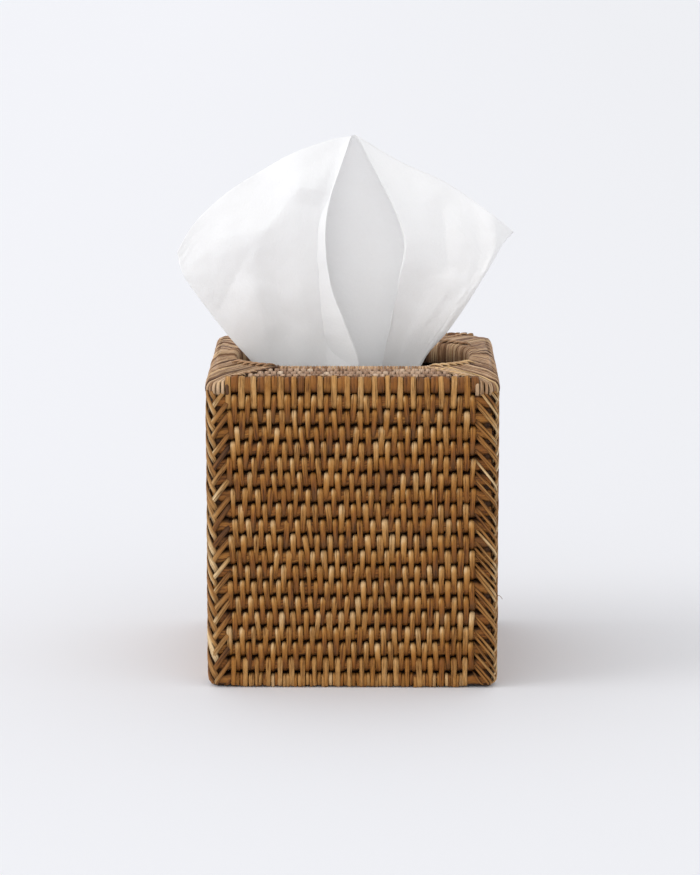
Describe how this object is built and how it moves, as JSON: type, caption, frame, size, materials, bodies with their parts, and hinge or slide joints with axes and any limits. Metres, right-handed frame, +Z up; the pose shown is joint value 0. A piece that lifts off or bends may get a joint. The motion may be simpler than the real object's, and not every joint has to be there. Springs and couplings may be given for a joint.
{
  "type": "tissue box cover",
  "caption": "Square woven rattan cover with an oval top opening, standing over a cube carton of tissues with one tissue pulled up through the slit.",
  "frame": {"origin": "centre of the cover's base, on the surface that it stands on", "axes": "+Z up, -Y towards the front, +X to the right as seen from the front; the slit and the long way of the opening run along X"},
  "size_m": [0.1664, 0.14, 0.2613],
  "materials": {
    "rattan_weave": "split rattan with a thin varnish",
    "rattan_lacing": "split rattan with a thin varnish",
    "rattan_wrap": "split rattan with a thin varnish",
    "carton_card": "plain coated card",
    "clear_film": "clear film",
    "tissue_paper": "soft two-ply tissue"
  },
  "bodies": {
    "root": {"wall_front": "rattan_weave", "wall_back": "rattan_weave", "wall_left": "rattan_weave", "wall_right": "rattan_weave", "top_rail_front": "rattan_weave", "top_rail_back": "rattan_weave", "corner_lacing_front_left": "rattan_lacing", "corner_lacing_front_right": "rattan_lacing", "corner_lacing_back_right": "rattan_lacing", "corner_lacing_back_left": "rattan_lacing", "rail_wrap_left": "rattan_wrap", "rail_wrap_right": "rattan_wrap", "opening_rim": "rattan_wrap", "carton": "carton_card", "carton_film": "clear_film", "tissue_stack": "tissue_paper", "tissue": "tissue_paper"}
  },
  "joints": []
}
